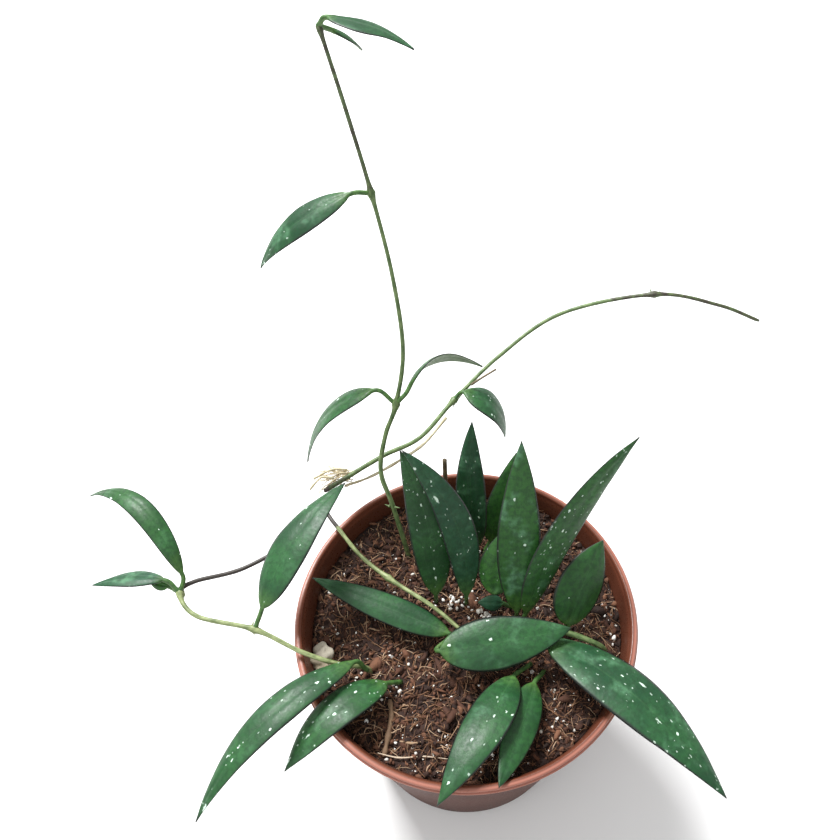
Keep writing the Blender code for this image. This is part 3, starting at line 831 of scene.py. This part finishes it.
def make_bark_bits():
    """A pale flake by the rim, two dark bark strips, an orange twig and a long pale root."""
    rng = random.Random(5)
    bits = grain_material("bark_flakes", BARK, 0.85, 350.0)
    points = []
    faces = []
    shades = []
    for route, radius, shade, lift in BARK_BITS:
        level = (SOIL_LEVEL - 0.5) * 0.7
        spots = [Vector((x, y, soil_height(x, y) * 0.3 + level + lift)) for x, y in route]
        path = [spot for spot, _ in smooth_route(spots, 0.8)]
        radii = [radius * MM * (0.75 + 0.5 * noise.noise(spot * 420.0)) for spot in path]
        before = len(points)
        strand(points, faces, path, radii, 7)
        shades += [shade + 0.1 * noise.noise(Vector(point) * 500.0) for point in points[before:]]
    pale_bark = grain_material("pale_bark", PALE_BARK, 0.85, 420.0)
    make_lumps("pale_bark_flake", pale_bark, PALE_FLAKE, PALE_FLAKE_SIZES, rng, 0.40, 3, 0.9)
    piece = add_piece("bark_and_twig_bits", points, faces, bits)
    set_attribute(piece, "shade", shades)


def make_mix_details():
    """Crumbs, bark chips, fibres and perlite on the mix."""
    rng = random.Random(7)
    make_bark_bits()
    brown = grain_material("peat_crumbs", PEAT, 0.88, 900.0)
    tan = grain_material("coir_fibre", COIR, 0.75, 700.0)
    white = grain_material("perlite_grain", PERLITE, 0.88, 1200.0)
    make_soil(brown)
    places = [(*scatter_place(rng, 55.0), rng.uniform(-0.2, 0.5)) for _ in range(CRUMBS)]
    sizes = [0.24 + 0.90 * rng.random() ** 2.6 for _ in places]
    make_lumps("peat_crumb_layer", brown, places, sizes, rng, 0.6, 1, 1.1)
    chips = [(*scatter_place(rng, 52.0), 0.3) for _ in range(CHIPS)]
    chip_sizes = [rng.uniform(1.4, 2.6) for _ in chips]
    make_lumps("bark_chip_layer", brown, chips, chip_sizes, rng, 0.35)
    make_fibres("coir_fibre_layer", tan, FIBRES, rng,
                length=(1.5, 6.5), radius=(0.08, 0.24), lift=(0.0, 1.4), curl=0.9)
    make_fibres("fine_root_layer", tan, LONG_ROOTS, rng,
                length=(8.0, 18.0), radius=(0.10, 0.24), lift=(0.2, 1.6), curl=1.4)
    grains = [(*scatter_place(rng, 54.0), 0.45) for _ in range(PERLITE_GRAINS)]
    grain_sizes = [0.18 + 0.62 * rng.random() ** 3 for _ in grains]
    for centre_x, centre_y, count, spread in PERLITE_HEAPS:
        for _ in range(count):
            x = rng.gauss(centre_x, spread)
            y = rng.gauss(centre_y, spread * 0.6)
            grains.append((x, y, rng.uniform(0.3, 1.4)))
            grain_sizes.append(rng.uniform(0.4, 0.95))
    make_lumps("perlite_layer", white, grains, grain_sizes, rng, 0.85, 2, 0.5)


# ---------------------------------------------------------------- stems

def smooth_route(points, step):
    """Points at even steps along a Catmull-Rom curve, with their distance in route numbers."""
    knots = [vec(point) for point in points]
    knots = [knots[0] * 2 - knots[1], *knots, knots[-1] * 2 - knots[-2]]
    route = []
    for number in range(1, len(knots) - 2):
        before, start, end, after = knots[number - 1:number + 3]
        count = max(2, round((end - start).length / (step * MM)))
        for piece in range(count):
            t = piece / count
            bend = start * 2 + (end - before) * t
            bend += (before * 2 - start * 5 + end * 4 - after) * t ** 2
            bend += (start * 3 - before - end * 3 + after) * t ** 3
            route.append((bend * 0.5, number - 1 + t))
    route.append((knots[-2], float(len(points) - 1)))
    return route


def make_stem(name, material, slot, corners=14):
    """A stem with swollen nodes, fine ridges and small wander in its thickness."""
    points_in, start, end, nodes = STEMS[name]
    route = smooth_route(points_in, STEM_STEP)
    knots = [vec(points_in[number]) for number in nodes]
    path = [spot for spot, _ in route]
    radii = []
    lengths = [0.0]
    for first, second in zip(path, path[1:]):
        lengths.append(lengths[-1] + (second - first).length / MM)
    for number, (spot, progress) in enumerate(route):
        radius = start + (end - start) * progress / (len(points_in) - 1)
        for knot in knots:
            distance = (spot - knot).length / MM
            radius += sum(high * math.exp(-(distance / wide) ** 2) for high, wide in NODE_SWELLINGS)
        radius *= STEM_FULLNESS.get(name, 1.0) * (1.0 + STEM_BUMPS[slot] * noise.noise(spot * 260.0))
        if slot == "stem" and number in (0, len(route) - 1) and name != "loop_vine":
            radius *= 0.7
        radii.append(radius * MM)
    points = []
    faces = []
    strand(points, faces, path, radii, corners)
    ridged = []
    for number, point in enumerate(points):
        row = number // corners
        centre = path[row]
        outward = Vector(point) - centre
        lift = 1.0 + 0.05 * math.sin(number % corners * math.tau / corners * 5 + row * 0.04)
        ridged.append(tuple(centre + outward * lift))
    piece = add_piece(name + "_skin", ridged, faces, material, (name,))
    numbers = range(len(points))
    turns = [math.sin(math.tau * (number % corners) / corners) for number in numbers]
    ages = [stem_age(name, route[number // corners][1]) for number in numbers]
    set_attribute(piece, "along_mm", [lengths[number // corners] for number in numbers])
    set_attribute(piece, "turn", turns)
    set_attribute(piece, "age", ages)


def stem_age(name, progress):
    """How old and brown the skin is, from 0 to 1, along each stem."""
    if name == "loop_vine":
        if 6.2 < progress < 10.5:
            return 1.0
        return 0.75 if 10.5 <= progress < 11.2 else 0.1
    if name == "tall_vine":
        return max(0.7 - progress * 0.35, 0.45 * (progress > 8.0), 0.0)
    if name == "runner_vine":
        return max(0.6 - progress * 0.25, 0.5 * (progress > 6.5), 0.0)
    return 0.15


def make_root_tangle(material):
    """The loose knot of fine aerial roots where the runner meets the loop's far side."""
    rng = random.Random(11)
    points = []
    faces = []
    shades = []
    for _ in range(TANGLE_ROOTS):
        spot = Vector((-45 + rng.uniform(-4, 3), 57 + rng.uniform(-3, 3), 98 + rng.uniform(-1, 1)))
        turn = math.radians(rng.uniform(150, 235))
        path = []
        reach = rng.uniform(8.0, 19.0)
        for _ in range(TANGLE_STEPS):
            path.append(spot * MM)
            turn += rng.uniform(-0.35, 0.35)
            move = Vector((math.cos(turn), math.sin(turn), rng.uniform(-0.25, 0.15)))
            spot = spot + move * (reach / TANGLE_STEPS)
        before = len(points)
        thick = rng.uniform(0.12, 0.30) * MM
        strand(points, faces, path, [thick * (1.0 - 0.05 * step) for step in range(TANGLE_STEPS)], 6)
        shades += [rng.random()] * (len(points) - before)
    piece = add_piece("aerial_root_tangle", points, faces, material)
    set_attribute(piece, "shade", shades)


def make_nubs(name, material, nodes, count, seed):
    """Short pointed root tips around a stem's nodes."""
    rng = random.Random(seed)
    points = []
    faces = []
    for number in nodes:
        centre = vec(STEMS[name][0][number])
        for _ in range(count):
            turn = rng.uniform(0.0, math.tau)
            way = Vector((math.cos(turn), math.sin(turn), rng.uniform(-0.7, 0.5))).normalized()
            shift = Vector((rng.uniform(-1.2, 1.2), rng.uniform(-1.2, 1.2), 0.0)) * MM
            reach = rng.uniform(1.6, 3.0) * MM
            path = [centre + shift + way * (reach * step / 4) for step in range(5)]
            strand(points, faces, path, [0.42 * MM * (1.0 - 0.2 * step) for step in range(5)], 7)
    piece = add_piece(name + "_root_tips", points, faces, material)
    for key in ("along_mm", "turn"):
        set_attribute(piece, key, [0.0] * len(points))
    set_attribute(piece, "age", [0.2] * len(points))


def make_stems():
    """Every stem, twig and root strand of the frame."""
    green, light, bark, pale = (stem_material(name, *skin) for name, skin in STEM_SKINS.items())
    for name, (nodes, count, seed) in ROOT_TIPS.items():
        make_nubs(name, light if name == "loop_vine" else green, nodes, count, seed)
    make_root_tangle(grain_material("fine_root_skin", FINE_ROOT, 0.75, 800.0))
    for name in STEMS:
        if name in ("cut_stub", "dried_twig"):
            make_stem(name, bark, "dry_stem", 10)
        elif name.startswith(("pale", "aerial")):
            make_stem(name, pale, "root", 8)
        else:
            make_stem(name, light if name == "loop_vine" else green, "stem")


# ---------------------------------------------------------------- leaves

def bezier(start, pull, push, end, t):
    """A point of a cubic curve and its direction."""
    back = 1.0 - t
    point = start * back ** 3 + pull * 3 * back ** 2 * t + push * 3 * back * t ** 2 + end * t ** 3
    slope = (pull - start) * back ** 2 + (push - pull) * 2 * back * t + (end - push) * t ** 2
    return point, slope.normalized()


def blade_outline(t):
    """Half width of a blade along its midrib, from 0 to 1: round at the base, drawn out to the tip."""
    swell = 0.6
    narrow = 0.95
    widest = swell / (swell + narrow)
    peak = widest ** swell * (1.0 - widest) ** narrow
    return t ** swell * (1.0 - t) ** narrow / peak


def heading(azimuth, rise):
    """The unit vector with a compass angle from +X and a rise above the horizon."""
    flat = math.cos(math.radians(rise))
    turn = math.radians(azimuth)
    return Vector((flat * math.cos(turn), flat * math.sin(turn), math.sin(math.radians(rise))))


def leaf_frame(row):
    """The curves and directions of a leaf."""
    joint, base, tip = (vec(point) for point in row[:3])
    width, arch, face = row[3:]
    chord = tip - base
    side = chord.cross(heading(*face)).normalized()
    lift = side.cross(chord).normalized()
    rise_near, rise_far, sweep = arch
    pull = base + chord / 3 + lift * (rise_near * MM) + side * (sweep * MM)
    push = base + chord * 2 / 3 + lift * (rise_far * MM) + side * (sweep * MM)
    return joint, base, pull, push, tip, side, width


def leaf_rings(joint, base, pull, push, tip):
    """Place, direction and share of each ring: the share is below 0 on the stalk, 0 to 1 on the blade."""
    out = (pull - base).normalized()
    reach = (base - joint).length
    depth = BURIED_STALK if joint.z < ROOTED_BELOW * MM else STALK_OVERLAP
    start = joint - (base - joint).normalized() * (depth * MM)
    rings = []
    for step in range(STALK_RINGS):
        t = step / STALK_RINGS
        point, along = bezier(start, joint.lerp(base, STALK_PULL), base - out * reach * STALK_PULL, base, t)
        rings.append((point, along, t - 1.0))
    for step in range(BLADE_RINGS + 1):
        t = step / BLADE_RINGS
        t = 0.5 * t + 0.5 * (0.5 - 0.5 * math.cos(math.pi * t))
        point, along = bezier(base, pull, push, tip, min(t, BLADE_END))
        rings.append((point, along, t))
    return rings


def ring_size(t, width, wave):
    """Half width and half thickness of a leaf in millimetres, and how blade-like it is, from 0 to 1."""
    if t <= 0:
        return PETIOLE_RADIUS, PETIOLE_RADIUS, 0.0
    flatness = min(1.0, t / 0.09)
    half = max(blade_outline(t) * width / 2, PETIOLE_RADIUS * max(0.0, 1.0 - t / 0.2), 0.12)
    half *= 1.0 + 0.025 * noise.noise(Vector((t * 5.0, wave, 0.0)))
    thick = PETIOLE_RADIUS * (1 - flatness) + BLADE_THICKNESS / 2 * flatness * (1.0 - 0.55 * t)
    return half, thick, flatness


def skin_height(v, t, layer, size, wave, length):
    """Height of a leaf's skin above its midline in millimetres; layer is 1 on top and -1 beneath."""
    half, thick, flatness = size
    x = half * v
    round_y = math.sqrt(max(0.0, 1.0 - v * v))
    blade_y = (1.0 - abs(v) ** 4) ** 0.6
    y = layer * thick * (round_y * (1 - flatness) + blade_y * flatness)
    fade = flatness * (1.0 - t) ** 0.4
    if layer == 1:
        y -= MIDRIB_DEPTH * (math.exp(-(v / MIDRIB_WIDTH) ** 2) * fade)
    else:
        y -= KEEL_DEPTH * math.exp(-(v / KEEL_WIDTH) ** 2) * fade
    y -= flatness * BLADE_DROOP * x * x / max(half, 0.3)
    shoulder = math.exp(-((abs(v) - SHOULDER_PLACE) / SHOULDER_WIDTH) ** 2)
    y += SHOULDER_HEIGHT * shoulder * fade * layer
    y += flatness * EDGE_WAVE * half * v * abs(v) * math.sin(t * 7.0 + wave)
    y += flatness * SKIN_UNEVENNESS * noise.noise(Vector((t * length / 7.0, v * 1.5, wave)))
    return y


def make_leaf(name, row, material):
    """A leaf: petiole, thick arched blade with a sunk midrib, wavy edges and a keel beneath."""
    joint, base, pull, push, tip, side, width = leaf_frame(row)
    wave = random.Random(name).uniform(0, 9)
    length = (tip - base).length / MM
    rings = leaf_rings(joint, base, pull, push, tip)
    around = [(1, column) for column in range(BLADE_COLUMNS)]
    around += [(-1, column) for column in range(BLADE_COLUMNS - 2, 0, -1)]
    points = []
    attributes = {key: [] for key in ("along", "across", "along_mm", "across_mm", "under")}
    travelled = 0.0
    previous = rings[0][0]
    for point, along, t in rings:
        travelled += (point - previous).length / MM
        previous = point
        normal = side.cross(along).normalized()
        across = along.cross(normal).normalized()
        size = ring_size(t, width, wave)
        for layer, column in around:
            v = -1.0 + 2.0 * column / (BLADE_COLUMNS - 1)
            v = math.copysign(1.0 - (1.0 - abs(v)) ** 1.25, v)
            x = size[0] * v
            y = skin_height(v, t, layer, size, wave, length)
            points.append(tuple(point + across * (x * MM) + normal * (y * MM)))
            attributes["along"].append(t * (0.2 if t < 0 else 1.0))
            attributes["across"].append(v if t > 0.02 else 0.0)
            attributes["along_mm"].append(travelled + wave * 20)
            attributes["across_mm"].append(x + wave * 7)
            attributes["under"].append(1.0 if layer == -1 else 0.0)
    faces = tube_faces(0, len(rings), len(around))
    piece = add_piece(name + "_blade", points, faces, material, (name,))
    for key, values in attributes.items():
        set_attribute(piece, key, values)
    for key, value in zip(("tint", "flecks", "clouds"), LEAF_TINTS[name]):
        set_attribute(piece, key, [value] * len(points))


def make_leaves():
    """Every leaf of the frame."""
    material = leaf_material()
    for name, row in LEAVES.items():
        make_leaf(name, row, material)


# ---------------------------------------------------------------- stage

def make_stage():
    """Pale floor, soft lights and the camera."""
    bpy.ops.mesh.primitive_plane_add(size=6.0, location=(0.0, 0.0, -0.0002))
    floor = bpy.context.object
    floor.name = "floor"
    material, _, shader = new_material("pale_floor")
    shader.inputs["Base Color"].default_value = (0.93, 0.93, 0.93, 1.0)
    shader.inputs["Roughness"].default_value = 0.9
    floor.data.materials.append(material)
    world = bpy.data.worlds.new("soft_sky")
    bpy.context.scene.world = world
    world.use_nodes = True
    world.node_tree.nodes["Background"].inputs[0].default_value = (1.0, 1.0, 1.0, 1.0)
    world.node_tree.nodes["Background"].inputs[1].default_value = SKY_STRENGTH
    for name, (place, size, power) in LIGHTS.items():
        light = bpy.data.lights.new(name, "AREA")
        light.size = size
        light.energy = power
        made = bpy.data.objects.new(name, light)
        made.location = place
        aim = Vector(LIGHT_TARGET) - Vector(place)
        made.rotation_euler = aim.to_track_quat("-Z", "Y").to_euler()
        bpy.context.scene.collection.objects.link(made)
    camera = bpy.data.cameras.new("camera")
    camera.lens = CAMERA_LENS
    camera.sensor_width = 36.0
    camera.shift_x = CAMERA_SHIFT
    made = bpy.data.objects.new("camera", camera)
    made.location = (0.0, -CAMERA_BACK * RIM_RADIUS * MM, (POT_HEIGHT + CAMERA_RISE * RIM_RADIUS) * MM)
    made.rotation_euler = (math.radians(90.0 - CAMERA_PITCH), 0.0, 0.0)
    bpy.context.scene.collection.objects.link(made)
    bpy.context.scene.camera = made
    bpy.context.scene.view_settings.view_transform = "Standard"


make_pot()
make_mix_details()
make_stems()
make_leaves()
make_stage()
